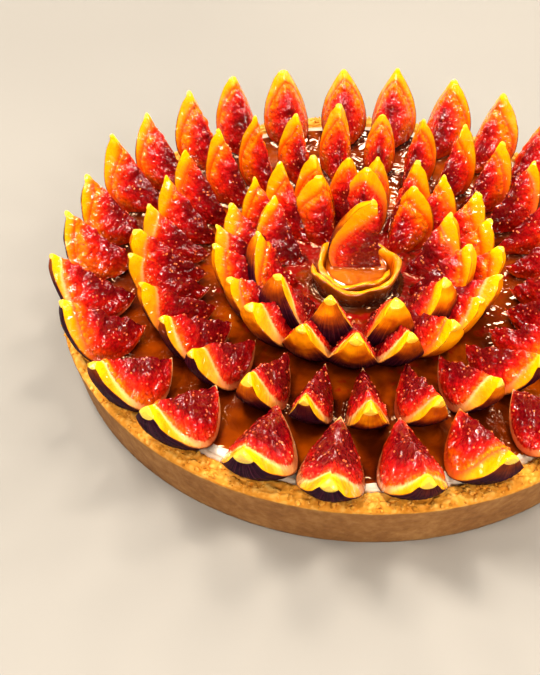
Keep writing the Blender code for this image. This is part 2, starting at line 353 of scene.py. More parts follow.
# %% Fig finish: the colours
PULP = ((0.0, "#fc9008"), (0.14, "#f8640a"), (0.32, "#ee3412"), (0.56, "#cc1418"), (0.82, "#9e0a16"),
        (1.0, "#700612"))
FRESH = ((0.0, "#fb9a60"), (0.08, "#ffd296"), (0.22, "#fbd878"), (0.5, "#f4ba1c"), (1.0, "#f6aa08"))
SOAKED = ((0.0, "#ea4e04"), (0.25, "#f67802"), (0.6, "#fd9600"), (1.0, "#ffb000"))
WARM_SKIN = ((0.0, "#5a1c0c"), (0.35, "#b4540a"), (0.7, "#ee9606"), (1.0, "#ffb80a"))
RIPENING = dict(start=0.27, inward=-0.070, along=-0.35, tone=0.8, clouds=0.9, soak=-0.46)


def pulp_colour(tree, at):
    """Ripeness picks the red; pale threads run in from the flesh, and between the sacs the pulp is darkened:
    partly its own deeper red, partly painted shade in the grooves that the bump makes there.
    """
    ripe = added(tree, RIPENING["start"], scaled(tree, at.frayed, RIPENING["inward"]),
                 offset(tree, at.along, 0.5, RIPENING["along"]), offset(tree, at.tone, 0.5, RIPENING["tone"]),
                 offset(tree, at.clouds, 0.5, RIPENING["clouds"]), scaled(tree, at.soak, RIPENING["soak"]))
    near_flesh = between(tree, at.frayed, -5.0, 0.0, low_out=0.10, high_out=0.85)
    threads = sums(tree, "MULTIPLY", between(tree, at.fibres, 0.50, 0.65), near_flesh)
    thread_colour = blend(tree, at.soak, colour("#fb7646"), colour("#f4560a"))
    # painted shade, with the pulp's deeper red: darker in the grooves between the sacs, where the bump sinks
    # the surface
    gaps = between(tree, at.sacs, 0.42, 0.80)
    threaded = blend(tree, threads, ramp(tree, ripe, *PULP), thread_colour)
    return blend(tree, scaled(tree, gaps, 0.40), threaded, colour("#7a0412"))


def flesh_colour(tree, at):
    """The colour runs with the distance from the pulp; the sides are cream and the stem end is yellow."""
    out = between(tree, at.frayed, 0.0, 6.5)
    cream_side = between(tree, at.along, 0.86, 0.42, low_out=0.0, high_out=0.80)
    fresh = blend(tree, cream_side, ramp(tree, out, *FRESH), colour("#f4bc78"))
    flesh = blend(tree, between(tree, at.soak, 0.15, 0.70), fresh, ramp(tree, out, *SOAKED))
    clouded = added(tree, at.along, offset(tree, at.clouds, 0.5, 0.3))
    tip, pale = between(tree, clouded, 0.84, 1.0), between(tree, clouded, 1.02, 1.16)
    spots = between(tree, at.grains, 0.60, 0.72)
    flesh = blend(tree, scaled(tree, tip, 0.8), flesh, colour("#ffd200"))
    flesh = blend(tree, scaled(tree, pale, 0.25), flesh, colour("#fff08c"))
    return blend(tree, scaled(tree, spots, 0.45), flesh, colour("#ee8a00"))


def skin_colour(tree, at):
    """Purple in streaks; dusk moves the place up the fig where brown and yellow take over."""
    dark = blend(tree, between(tree, at.streaks, 0.45, 0.72), colour("#28081e"), colour("#5a2238"))
    dusk = offset(tree, at.dusk, 0.5, -1.3)
    height = added(tree, at.along, offset(tree, at.streaks, 0.5, 0.40), dusk)
    soft = added(tree, at.along, offset(tree, at.clouds, 0.5, 0.5), offset(tree, at.streaks, 0.5, 0.15), dusk)
    warm = ramp(tree, between(tree, soft, 0.45, 1.1), *WARM_SKIN)
    return blend(tree, between(tree, height, 0.42, 0.75), dark, warm)


print("pulp runs from", PULP[0][1], "to", PULP[-1][1])

# %% [markdown]
# One map from the mesh picks cut face or skin, and a thin brown line marks the rind between them. The lower
# part of each wedge is darkened by its height: the dark amber of the glaze it stands in, and higher up
# painted shade between the wedges. The coat is thin on the skin, which is waxy, and full on the wet cut
# faces.

# %% Fig finish: put together
FOOT_DARKEST_HEIGHT, FOOT_SHADE_HEIGHT = 0.0262, 0.0400      # heights between which the foot of a wedge is darkened: the glaze's amber low down, painted shade higher up
COAT_ON_SKIN = 0.14


def fig_finish():
    """Cut face or skin by the mesh's own values, darker at the foot by glaze tint and painted shade, with a
    matt bump for the flesh and a smooth, lower one for the clear coat."""
    made, tree, shader, place = new_finish("glazed_fig")
    at = fig_patterns(tree, place)
    pulp, flesh = pulp_colour(tree, at), flesh_colour(tree, at)
    cut = blend(tree, between(tree, at.frayed, -0.35, 0.45), pulp, flesh)
    line = between(tree, added(tree, at.rind, offset(tree, at.grains, 0.5, 0.9)), 0.90, 0.25)
    cut = blend(tree, scaled(tree, line, 0.80), cut, colour("#74300a"))
    surface = blend(tree, between(tree, at.skin, 0.25, 0.75), cut, skin_colour(tree, at))

    # the foot of a wedge is darkened by its height: the glaze's dark amber where it is deep, and painted
    # shade between the wedges above it
    height = node(tree, "SeparateXYZ", {0: place}).outputs[2]
    height = added(tree, height, offset(tree, at.clouds, 0.5, 0.006))
    # painted shade: the wedge is tinted darker the lower it stands between its neighbours; only next to the
    # cream is this the amber of the glaze
    foot_glaze_and_shade = between(tree, height, FOOT_SHADE_HEIGHT, FOOT_DARKEST_HEIGHT, low_out=0.0, high_out=0.90)
    surface = blend(tree, foot_glaze_and_shade, surface, colour("#a0300c"), "MULTIPLY")

    in_pulp = between(tree, at.frayed, 0.4, -0.6)
    pebbly = scaled(tree, sums(tree, "MULTIPLY", at.sacs, in_pulp), -1.1)
    ragged = added(tree, scaled(tree, at.grains, 0.5), scaled(tree, at.fibres, 0.5), pebbly)
    coat = added(tree, 1.0, scaled(tree, at.skin, COAT_ON_SKIN - 1.0))
    finish_with(tree, shader, Base_Color=surface, Roughness=0.36, Normal=bumped(tree, ragged, 0.7, 0.0008),
                Coat_Normal=bumped(tree, at.ripples, 1.0, 0.0034), Specular_IOR_Level=0.0, Coat_Weight=coat,
                Coat_Roughness=0.02, Coat_IOR=1.65, Subsurface_Weight=0.10,
                Subsurface_Radius=(1.0, 0.35, 0.12), Subsurface_Scale=0.003)
    return made


glazed_fig = fig_finish()
print("fig finish:", len(glazed_fig.node_tree.nodes), "nodes")

# %% [markdown]
# ## Where the wedges stand
# The wedges follow a rule, so the rule is written once and every wedge comes from it: rings from the outside
# in, even steps round each ring, a push where the ring is crowded, a lean that is steep at the back and low
# at the front, and the small unevenness of handwork. It is the same rule as the solids follow.

# %% The rings
FIG_FLOOR = 0.0259
FIG_SINK = 0.0016
FIG_LENGTH, FIG_RADIUS, BELLY = 0.0405, 0.0200, 0.40
SKIN_ROWS = (0.035, 0.12, 0.25, 0.42, 0.60, 0.76, 0.90, 1.0)
STEM, STEM_FRONT, FULLNESS = 0.25, 0.13, 1.75
THICK_FRONT, WIDE_STEMS = (265.0, 55.0), (270.0, 50.0)
OFF = dict(place=0.9, turn=2.0, foot=0.008, lean=2.5, length=0.06, radius=0.03, roll=5.0, stem=0.06)
RINGS = {
    "outer": dict(
        count=27, first=90.9, centre=(-0.0013, -0.0026), foot=0.0960, lean=37.5, rock=16.0, side=9.0,
        crowd=((-6.0, 195.0, 60.0),), fill=0.97, widest=46.0, size=1.0, front=0.10, seed=11),
    "second": dict(
        count=28, first=52.2, centre=(-0.0006, -0.0043), foot=0.0646, lean=45.0, rock=16.0, side=0.0,
        crowd=((5.5, 142.0, 48.0), (-4.5, 230.0, 45.0)), fill=0.93, widest=44.0, size=0.96, front=0.01,
        seed=23),
    "third": dict(
        count=21, first=75.0, centre=(-0.0019, -0.0074), foot=0.0308, lean=49.0, rock=14.0, side=-6.0,
        crowd=((-5.0, 205.0, 30.0), (4.0, 290.0, 35.0)), fill=1.45, widest=40.0, size=0.93, front=0.0,
        seed=37),
    "fourth": dict(
        count=11, first=78.6, centre=(-0.0020, -0.0082), foot=0.0232, lean=60.0, rock=8.0, side=0.0,
        crowd=((12.0, 235.0, 85.0),), fill=1.3, widest=40.0, size=0.90, front=0.0, seed=41),
}


def bump(angle, centre, spread):
    """A bell curve round the circle, 1 at its centre, in degrees."""
    away = (angle - centre + 180.0) % 360.0 - 180.0
    return math.exp(-(away / spread) ** 2)


def crowded(ring, number):
    """The angle of a wedge round its ring: even steps, pushed along where the ring is crowded."""
    angle = ring["first"] + 360.0 * number / ring["count"]
    return angle + sum(push * bump(angle, centre, spread) for push, centre, spread in ring["crowd"])


def slice_half_angle(ring, room, foot, lean, length, radius):
    """Half of the slice of fig that a wedge takes: the arc sine of half its place in the ring, measured at
    the belly, over the fig's radius there."""
    belly = foot + BELLY * length * math.cos(math.radians(lean))
    share = ring["fill"] * math.radians(room) * belly / (2.0 * radius)
    return min(ring["widest"], math.degrees(math.asin(min(1.0, share))))


def ring_wedges(ring):
    """The place and the size of each wedge of a ring."""
    count = ring["count"]
    jitters = np.random.default_rng(ring["seed"]).uniform(-1.0, 1.0, (count, 8))
    angles = [crowded(ring, i) + OFF["place"] * jitters[i][0] for i in range(count)]
    wedges = []
    for i, (angle, jitter) in enumerate(zip(angles, jitters)):
        before = (angle - angles[i - 1]) % 360.0
        after = (angles[(i + 1) % count] - angle) % 360.0
        room = 0.5 * min(before, after) + 0.25 * (before + after)
        away = np.array([math.cos(math.radians(angle)), math.sin(math.radians(angle))]) * ring["foot"]
        big = ring["size"] * (1.0 + ring["front"] * bump(angle, *THICK_FRONT))
        lean = (ring["lean"] + ring["rock"] * math.sin(math.radians(angle))
                + ring["side"] * math.cos(math.radians(angle)) ** 2 + OFF["lean"] * jitter[3])
        length = FIG_LENGTH * ring["size"] * (1.0 + OFF["length"] * jitter[4])
        radius = FIG_RADIUS * big * (1.0 + OFF["radius"] * jitter[5])
        wedges.append(dict(
            angle=angle + OFF["turn"] * jitter[1],
            foot=np.array(ring["centre"]) + away * (1.0 + OFF["foot"] * jitter[2]),
            lean=lean,
            length=length,
            radius=radius,
            half_angle=slice_half_angle(ring, room, ring["foot"], lean, length, radius),
            roll=OFF["roll"] * jitter[6],
            stem=STEM + STEM_FRONT * bump(angle, *WIDE_STEMS) + OFF["stem"] * jitter[7],
            fullness=FULLNESS,
        ))
    return wedges


rings = {name: ring_wedges(ring) for name, ring in RINGS.items()}
print("wedges:", {name: len(wedges) for name, wedges in rings.items()})

# %% [markdown]
# ## A wedge of fig
# A quarter or a fifth of a fig is cut from the blossom end to the stem. Its section, seen along the fig, is a
# closed loop: out along one cut face, round the skin, and back along the other face to the ridge where the
# two cuts meet. Carrying that loop along the fig gives the whole wedge as one grid. The pulp swells out of
# the cut, its fibres stand up a little, and the ridge is torn and rounded.

# %% The wedge's plain form
FACE_STEPS, SKIN_STEPS, BLOSSOM_ROWS, STEM_ROWS = 32, 18, 20, 38
NECK_THICKER, EDGE_THINNER = 0.14, 0.26      # shares of the fig's thickness, before the stem and at its cut
STEM_SHORTER = 0.0016                        # the room for the dome and the slant of the cut


def outline(t, stem, fullness):
    """Half the fig's thickness as a share of the belly's: a quarter ellipse up to the belly, then a power
    curve that narrows to the cut stem."""
    blunt = np.sqrt(np.clip(1.0 - ((BELLY - t) / BELLY) ** 2, 0.0, 1.0))
    x = np.clip((t - BELLY) / (1.0 - BELLY), 0.0, 1.0)
    return np.where(t <= BELLY, blunt, stem + (1.0 - stem) * (1.0 - x ** fullness))


def wedge_axes(wedge):
    """The wedge's own axes as columns: X to the middle of its skin, Z along the fig to the stem, turned by
    its roll about Z."""
    angle, tilt, roll = (math.radians(wedge[key]) for key in ("angle", "lean", "roll"))
    out, up = np.array([math.cos(angle), math.sin(angle), 0.0]), np.array([0.0, 0.0, 1.0])
    stem = out * math.cos(tilt) + up * math.sin(tilt)
    skin = out * math.sin(tilt) - up * math.cos(tilt)
    turned = np.array([[math.cos(roll), -math.sin(roll), 0], [math.sin(roll), math.cos(roll), 0], [0, 0, 1]])
    return np.stack([skin, np.cross(stem, skin), stem], axis=-1) @ turned


def wedge_place(wedge, axes):
    """Where the blossom end goes, so that the lowest point of the plain wedge is pressed into the cream."""
    t = np.array(SKIN_ROWS)[:, None]
    turn = np.radians(wedge["half_angle"]) * np.linspace(-1.0, 1.0, 5)[None, :]
    r = wedge["radius"] * outline(t, wedge["stem"], wedge["fullness"])
    plain = np.stack(np.broadcast_arrays(r * np.cos(turn), r * np.sin(turn), wedge["length"] * t), axis=-1)
    plain = np.concatenate([plain.reshape(-1, 3), [[0, 0, 0], [0, 0, wedge["length"]]]]) @ axes.T
    return np.array([*wedge["foot"], FIG_FLOOR - FIG_SINK - plain[:, 2].min()])


def uneven_steps(count):
    """From 0 to 1, with shorter steps at both ends."""
    x = np.linspace(0.0, 1.0, count + 1)
    return 0.55 * (0.5 - 0.5 * np.cos(np.pi * x)) + 0.45 * x


def plain_wedge(wedge):
    """The plain wedge on a grid. Along the fig runs t, and round its section a loop of share (0 at the ridge,
    1 at the skin) and turn (the angle about the fig's axis). The distance from the axis, r, is the share
    times the fig's full thickness at t."""
    half, length = math.radians(wedge["half_angle"]), wedge["length"]
    steps = uneven_steps(FACE_STEPS)
    share = np.concatenate([steps, np.ones(SKIN_STEPS - 1), steps[:0:-1]])
    turn = np.concatenate([np.full(FACE_STEPS + 1, -half), np.linspace(-half, half, SKIN_STEPS + 1)[1:-1],
                           np.full(FACE_STEPS, half)])
    quarter = np.linspace(0.0, np.pi / 2, BLOSSOM_ROWS + 1)[1:]
    t = np.concatenate([BELLY * (1.0 - np.cos(quarter)), np.linspace(BELLY, 1.0, STEM_ROWS + 1)[1:]])
    t, share, turn = np.broadcast_arrays(t[:, None], share, turn)
    neck = 1.0 + NECK_THICKER * smooth_step(t, 0.70, 0.95) - EDGE_THINNER * smooth_step(t, 0.93, 1.01)
    full = wedge["radius"] * outline(t, wedge["stem"], wedge["fullness"]) * neck
    return SimpleNamespace(half=half, t=t, share=share, turn=turn, full=full, r=full * share,
                           z=length * t - STEM_SHORTER * smooth_step(t, 0.60, 1.0),
                           side=np.sign(turn) * (share < 1.0), on_skin=share >= 1.0)


print("the section's loop has", 2 * FACE_STEPS + SKIN_STEPS, "points")

# %% [markdown]
# A cut fig isn't flat: the pulp swells out of the flesh, its fibres stand up in lines that run out from the
# middle, and small sacs bulge between them. Where the two cuts meet in soft pulp, the ridge is torn and
# rounded. The skin has fine creases along the fig.

# %% The wedge's relief
PULP_MIDDLE = 0.47               # where the fibres run together, as a share of the fig's length
FLESH = dict(waver=0.25, growth=9.5, grows_from=0.45, power=1.5)
SWELL = dict(pulp=0.00040, fibre=0.00025, lump=0.00100, sac=0.00050, flesh=0.00022)
FIBRES_A_RADIAN, FIBRE_LENGTH, LUMP_CELL, SAC_CELL = 7.0, 0.006, 0.0032, 0.0021
RIDGE = dict(round=0.0012, torn=0.0020, least=0.0002, tear=0.0045, reach=0.0022)
CREASE = dict(broad=0.00022, cell=0.006, fine=0.00010, a_turn=46.0)


def pulp_border(wedge, at, number):
    """How far each point is outside the pulp: its distance from the axis, less the fig's thickness without
    its flesh. The flesh wavers, and grows with a power of the way to the stem."""
    place = np.stack([4.0 * at.t, at.side + number, 0.0 * at.t], axis=-1)
    waver = 1.0 + FLESH["waver"] * relief(place, 1.0, 29)
    growth = 1.0 + FLESH["growth"] * np.clip(at.t - FLESH["grows_from"], 0.0, 1.0) ** FLESH["power"]
    return at.r - (at.full - wedge["band"] * waver * growth)


def face_swell(wedge, at, world, number):
    """How far a cut face stands out of its plane. In the pulp that is a rise with fibres, lumps and sacs, in
    the flesh low lumps, and over both a shallow bowl; it dies out at the skin and at the stem."""
    place = np.stack([at.angle * FIBRES_A_RADIAN, at.reach / FIBRE_LENGTH, at.side * 3.0 + number], axis=-1)
    fibre = relief(place, 1.0, 7)
    lumps = rough(world, LUMP_CELL, 2, 3)
    sacs = pebbles(world, SAC_CELL, 13)
    in_pulp = SWELL["pulp"] + SWELL["fibre"] * fibre + SWELL["lump"] * lumps + SWELL["sac"] * (sacs - 0.5)
    swell = at.pulp * in_pulp + (1.0 - at.pulp) * SWELL["flesh"] * lumps
    swell = swell + wedge["cup"] * np.sin(np.pi * at.share) * np.sin(np.pi * np.clip(at.t, 0.0, 1.0))
    return swell * smooth_step(at.full - at.r, 0.0, 0.0010) * smooth_step(1.0 - at.t, 0.0, 0.05)


def with_relief(wedge, at, local, world, number):
    """Move each face's points along its normal, and the skin's outwards. Near the ridge the normal turns to
    the ridge's own, and the ridge is rounded: its X becomes the root of the sum of two squares."""
    torn = rough(np.stack([at.z, at.z * 0 + number, at.z * 0], axis=-1), RIDGE["tear"], 3, 17)
    rounding = np.clip(RIDGE["round"] + RIDGE["torn"] * torn * (0.2 + at.pulp), RIDGE["least"], None)
    rounded_x = np.hypot(local[..., 0], rounding * smooth_step(at.full, 0.0, 0.004))
    near = np.exp(-at.r / RIDGE["reach"])[..., None]
    normal = np.stack([-np.sin(at.half) * np.ones_like(at.r), at.side * np.cos(at.half), 0.0 * at.r], axis=-1)
    normal = normal * (1.0 - near) + np.array([-1.0, 0.0, 0.0]) * near
    outwards = np.stack([np.cos(at.turn), np.sin(at.turn), 0.0 * at.turn], axis=-1)
    creases = (CREASE["broad"] * rough(world, CREASE["cell"], 2, 9)
               + CREASE["fine"] * np.sin(at.turn * CREASE["a_turn"] + 5.0 * number))
    creases = creases * smooth_step(at.full, 0.0, 0.006)
    swell = face_swell(wedge, at, world, number)
    shift = np.where(at.on_skin[..., None], outwards * creases[..., None], normal * swell[..., None])
    x = np.where(at.on_skin, local[..., 0], rounded_x)
    return np.stack([x, local[..., 1], local[..., 2]], axis=-1) + shift


print("the pulp swells by", MM * SWELL["pulp"], "mm, with lumps of", MM * SWELL["lump"], "mm")

# %% [markdown]
# The stem end is cut off short and blunt. The section's sharp corners round off towards it, the cut is at a
# slant, and it is a little domed, like any cut through something juicy.

# %% The wedge's stem
CORE, CORNER_LIMIT = 0.55, 0.58      # middle of the section and reach of its corners, in full thicknesses
DOME, CUT_ROUGHNESS = 0.0017, 0.0005
CAP_SHARES = np.array([0.93, 0.80, 0.58, 0.32])[:, None, None]
PRESSED_IN = 0.0006                  # how far a foot reaches into the cream


def blunt_stem(wedge, at, local):
    """Hold the section's corners under a limit by a fourth root of a sum of fourth powers, the more the
    nearer the stem, and tilt the rows there by the slant of the cut."""
    core = np.stack([CORE * at.full, 0.0 * at.full], axis=-1)
    spoke = local[..., :2] - core
    spread, limit = np.linalg.norm(spoke, axis=-1), CORNER_LIMIT * at.full
    shrink = limit / np.maximum((spread ** 4 + limit ** 4) ** 0.25, 1e-9)
    blunt = smooth_step(at.t, 0.68, 1.0)
    local[..., :2] = core + spoke * (1.0 + blunt * (shrink - 1.0))[..., None]
    slope = wedge["slant"] * smooth_step(at.t, 0.80, 1.0)
    local[..., 2] = local[..., 2] + slope * (local[..., 0] - CORE * at.full)
    return local


def stem_cut(wedge, rim, middle, number):
    """The last loop drawn in towards its middle by a few shares, domed, slanted and a little rough."""
    cap = middle + (rim - middle) * CAP_SHARES
    dome = DOME * smooth_step(1.0 - CAP_SHARES[..., 0], -0.10, 0.60) * wedge["dome"]
    tilt = wedge["slant"] * (cap[..., 0] - middle[0])
    cap[..., 2] = middle[2] + tilt + dome + CUT_ROUGHNESS * relief(cap + 0.01 * number, 0.003, 5)
    return cap


print("the cut at the stem is domed by up to", MM * DOME, "mm")

# %% [markdown]
# The mesh says at each of its points what is there, so that one finish can serve every wedge: how far along
# the fig the point is, how far outside the pulp, whether it is skin, and how near the rind.

# %% The wedge put together
def with_cap(values, on_cap, blossom_end, cap_middle):
    """Values for the whole mesh: the grid's, the stem cut's, and those of its two end points."""
    extra = np.broadcast_to(on_cap, (len(CAP_SHARES), values.shape[1]))
    return np.concatenate([values.ravel(), extra.ravel(), [blossom_end, cap_middle]])


def wedge_values(wedge, at, number, count):
    """The values at each point, lengths in millimetres, and the map for the fibres: the angle about the
    middle of the pulp, or the turn about the fig on its skin, and the reach from that middle."""
    border, reach = at.border * MM, at.reach * MM
    values = dict(
        along=with_cap(at.t, 1.12, 0.0, 1.2),
        border=with_cap(border, np.maximum(border[-1], 4.0), wedge["band"] * MM, 6.0),
        skin=with_cap(at.on_skin.astype(float), 0.0, 1.0, 0.0),
        rind=with_cap((at.full - at.r) * MM, 3.0 * (1.0 - CAP_SHARES[..., 0]) ** 0.5, 0.0, 5.0),
        **{name: np.full(count, wedge[name]) for name in ("tone", "dusk", "soak")},
    )
    angle = np.where(at.on_skin, at.turn, at.angle + 3.0 * at.side) + 1.7 * number
    uv = np.stack([with_cap(angle, angle[-1], 0.0, 0.0), with_cap(reach, reach[-1], 0.0, 0.0)], axis=-1)
    return values, uv


def wedge_surface(wedge, number):
    """The wedge as one closed grid with an end point at each end: the plain form, its relief, the blunt stem
    and the cut, carried to its place by its own axes."""
    at = plain_wedge(wedge)
    along_axis = at.z - PULP_MIDDLE * wedge["length"]
    at.angle, at.reach = np.arctan2(at.r, along_axis), np.hypot(at.r, along_axis)
    at.border = pulp_border(wedge, at, number)
    at.pulp = smooth_step(-at.border, -0.0002, 0.0010)

    axes = wedge_axes(wedge)
    origin = wedge_place(wedge, axes)
    local = np.stack([at.r * np.cos(at.turn), at.r * np.sin(at.turn), at.z], axis=-1)
    local = blunt_stem(wedge, at, with_relief(wedge, at, local, local @ axes.T + origin, number))
    middle = np.array([CORE * at.full[-1, 0], 0.0, wedge["length"] - STEM_SHORTER])
    grid = np.concatenate([local, stem_cut(wedge, local[-1], middle, number)])
    ends = [[0.0, 0.0, 0.0], middle + [0.0, 0.0, DOME * wedge["dome"]]]
    points = np.concatenate([grid.reshape(-1, 3), ends]) @ axes.T + origin
    points[:, 2] = np.maximum(points[:, 2], FIG_FLOOR - PRESSED_IN)
    return points, *closed_faces(*grid.shape[:2]), *wedge_values(wedge, at, number, len(points))


print("one wedge has", (BLOSSOM_ROWS + STEM_ROWS + len(CAP_SHARES)) * (2 * FACE_STEPS + SKIN_STEPS), "points")

# %% [markdown]
# ## The four rings
# Ripeness differs from fig to fig: tone says how crimson the pulp is, dusk how purple the skin is, and soak
# how far the glaze has got into the flesh. The outer ring has the most purple skin, and at the front the
# flesh is the freshest. Each wedge also gets the places of its seeds, which sit in the pulp alone.

# %% Seeds' places
SEEDS_A_WEDGE = 32
SEED_INSIDE = -0.9               # mm outside the pulp's border, so this far inside it
seeds = []


def seed_spots(rng, points, quads, triangles, values, count):
    """Random places on the pulp, each with the direction out of the surface: quads are drawn by their area,
    and only those that lie wholly in the pulp."""
    corners = points[quads]
    normal = np.cross(corners[:, 2] - corners[:, 0], corners[:, 3] - corners[:, 1])
    normal = normal * np.sign(signed_volume(points, quads, triangles))
    area = np.linalg.norm(normal, axis=1)
    in_pulp = (values["border"][quads].max(1) < SEED_INSIDE) & (values["skin"][quads].max(1) < 0.5)
    chance = area * in_pulp * (corners[..., 2].min(1) > FIG_FLOOR + 0.001)
    chosen = rng.choice(len(quads), count, p=chance / chance.sum())
    share = rng.uniform(0.0, 1.0, (count, 2))[:, :, None]
    bottom = corners[chosen, 0] * (1 - share[:, 0]) + corners[chosen, 1] * share[:, 0]
    top = corners[chosen, 3] * (1 - share[:, 0]) + corners[chosen, 2] * share[:, 0]
    spots = bottom * (1 - share[:, 1]) + top * share[:, 1]
    return np.stack([spots, normal[chosen] / area[chosen, None]], axis=1)


print("seeds a wedge:", SEEDS_A_WEDGE)

# %% [markdown]
# The ripeness of a ring is a starting value that each wedge varies a little, so that no two look alike.
# Towards the front the flesh is less soaked with glaze, and the skin is darker.

# %% Make the wedges
RIPENESS = {
    "outer": dict(tone=0.50, dusk=0.74, soak=0.92),
    "second": dict(tone=0.66, dusk=0.62, soak=0.82),
    "third": dict(tone=0.70, dusk=0.46, soak=0.88),
    "fourth": dict(tone=0.70, dusk=0.46, soak=0.88),
    "heart": dict(tone=0.80, dusk=0.5, soak=0.75),
}
FRONT_SIDE = (250.0, 75.0)       # degrees: its middle and its spread
AT_FRONT = dict(tone=0.06, dusk=0.17, soak=-0.85)
VARY = dict(band=0.22, tone=0.27, dusk=0.12, soak=0.30, dome=0.3, slant=0.40, cup=0.0008)
BAND, CUP, USUAL_DOME = 0.0029, 0.0004, 0.7


def ripen(wedge, ripe, extra):
    """Give a wedge its own band of flesh, ripeness and stem cut, from six random values."""
    front = bump(wedge["angle"], *FRONT_SIDE)
    soak = ripe["soak"] * (1.0 + AT_FRONT["soak"] * front) + VARY["soak"] * extra[3]
    wedge.update(
        band=BAND * (1.0 + VARY["band"] * extra[0]),
        tone=ripe["tone"] + VARY["tone"] * extra[1] + AT_FRONT["tone"] * front,
        dusk=ripe["dusk"] + VARY["dusk"] * extra[2] + AT_FRONT["dusk"] * front,
        soak=min(1.0, max(0.0, soak)),
        dome=USUAL_DOME + VARY["dome"] * extra[4],
        slant=VARY["slant"] * extra[5],
        cup=CUP + VARY["cup"] * extra[3] * extra[1],
    )


def dress_ring(name, wedges, solid):
    """Make a piece for each wedge of a ring; solid gives the name of the solid that it stands for."""
    rng = np.random.default_rng(len(name) * 100 + len(wedges))
    made = []
    for number, wedge in enumerate(wedges, start=1):
        ripen(wedge, RIPENESS[name], rng.uniform(-1.0, 1.0, 6))
        points, quads, triangles, values, uv = wedge_surface(wedge, number + 50 * len(name))
        made.append(points)
        make_piece(f"wedge_{name}_{number:02d}", points, quads, triangles, glazed_fig,
                   (solid(number),), values, uv)
        seeds.append(seed_spots(rng, points, quads, triangles, values, SEEDS_A_WEDGE))
    return made


feet = dress_ring("outer", rings["outer"], lambda number: f"fig_outer_{number:02d}")
feet += dress_ring("second", rings["second"], lambda number: f"fig_second_{number:02d}")
feet += dress_ring("third", rings["third"], lambda number: "fig_inner_rings")
feet += dress_ring("fourth", rings["fourth"], lambda number: "fig_inner_rings")
heart = dict(foot=np.array([0.0112, -0.0080]), angle=164.0, lean=84.0, length=0.0445, radius=0.0232,
             half_angle=16.0, roll=0.0, stem=0.20, fullness=1.9)
feet += dress_ring("heart", [heart], lambda number: "fig_centre_wedge")
print("pieces:", len(feet), "points:", sum(len(points) for points in feet))

# %% [markdown]
# ## Seeds and crumbs
# Small scattered things share one shape: a ball of a few rows of points, stretched along three axes, turned
# at random and roughened. Thousands of them are made at once by adding the one ball to every place.

# %% Balls to scatter
NO_QUADS = np.zeros((0, 4), int)


def ball(rows, columns):
    """The points of a round ball of radius 1 in rows between two poles, and its triangles."""
    polar = np.linspace(0.0, np.pi, rows + 2)[1:-1, None]
    turn = np.linspace(0.0, 2.0 * np.pi, columns + 1)[None, :-1]
    grid = np.broadcast_arrays(np.sin(polar) * np.cos(turn), np.sin(polar) * np.sin(turn), np.cos(polar))
    points = np.concatenate([np.stack(grid, -1).reshape(-1, 3), [[0.0, 0.0, 1.0], [0.0, 0.0, -1.0]]])
    quads, ends = closed_faces(rows, columns)
    return points, np.concatenate([quads[:, [0, 1, 2]], quads[:, [0, 2, 3]], ends])


def scatter(shape, spots, frames, sizes):
    """One mesh of many copies of a shape: each copy is stretched by its sizes, turned by its frame and put on
    its spot."""
    points, triangles = shape
    copies = np.einsum("nij,nkj->nki", frames, points[None] * sizes[:, None, :]) + spots[:, None, :]
    first = np.arange(len(spots))[:, None, None] * len(points)
    return copies.reshape(-1, 3), (triangles[None] + first).reshape(-1, 3)


def random_frames(rng, up):
    """For each direction, three axes at right angles: a random one across it, a second one, and itself."""
    across = np.cross(up, rng.normal(size=up.shape))
    across = across / np.linalg.norm(across, axis=1, keepdims=True)
    return np.stack([across, np.cross(up, across), up], axis=-1)


print("a seed's ball has", len(ball(3, 6)[1]), "triangles, a crumb's", len(ball(5, 8)[1]))

# %% [markdown]
# Fig seeds are about a millimetre long, a little flat, and straw to red. They sit on the pulp with their
# flat side along it, so each ball is turned to the direction out of the surface below it.

# %% Seeds
SEED_HALF_AXES = np.array([0.00056, 0.00046, 0.00036])
SEED_LIFT = 0.00008


def seed_finish():
    """Noise picks a tint between brick red and straw; a coat makes it wet."""
    made, tree, shader, place = new_finish("fig_seed")
    tint = ramp(tree, grain(tree, place, 240.0, 2.0), (0.35, "#b02812"), (0.5, "#cc4c20"), (0.65, "#e88640"))
    finish_with(tree, shader, Base_Color=tint, Roughness=0.3, Coat_Weight=1.0, Coat_Roughness=0.05)
    return made


rng = np.random.default_rng(77)
spots, outwards = np.moveaxis(np.concatenate(seeds), 1, 0)
sizes = SEED_HALF_AXES * rng.uniform(0.8, 1.15, (len(spots), 1))
points, triangles = scatter(ball(3, 6), spots + SEED_LIFT * outwards, random_frames(rng, outwards), sizes)
make_piece("fig_seeds", points, NO_QUADS, triangles, seed_finish())
print("seeds:", len(spots), "triangles:", len(triangles))

# %% [markdown]
# ## The curl
# A thin slice of fig is rolled into a loose spiral round the upright wedge. It is a ribbon carried along the
# spiral: its section is a rounded strip that leans outwards, and its upper edge waves up and down.

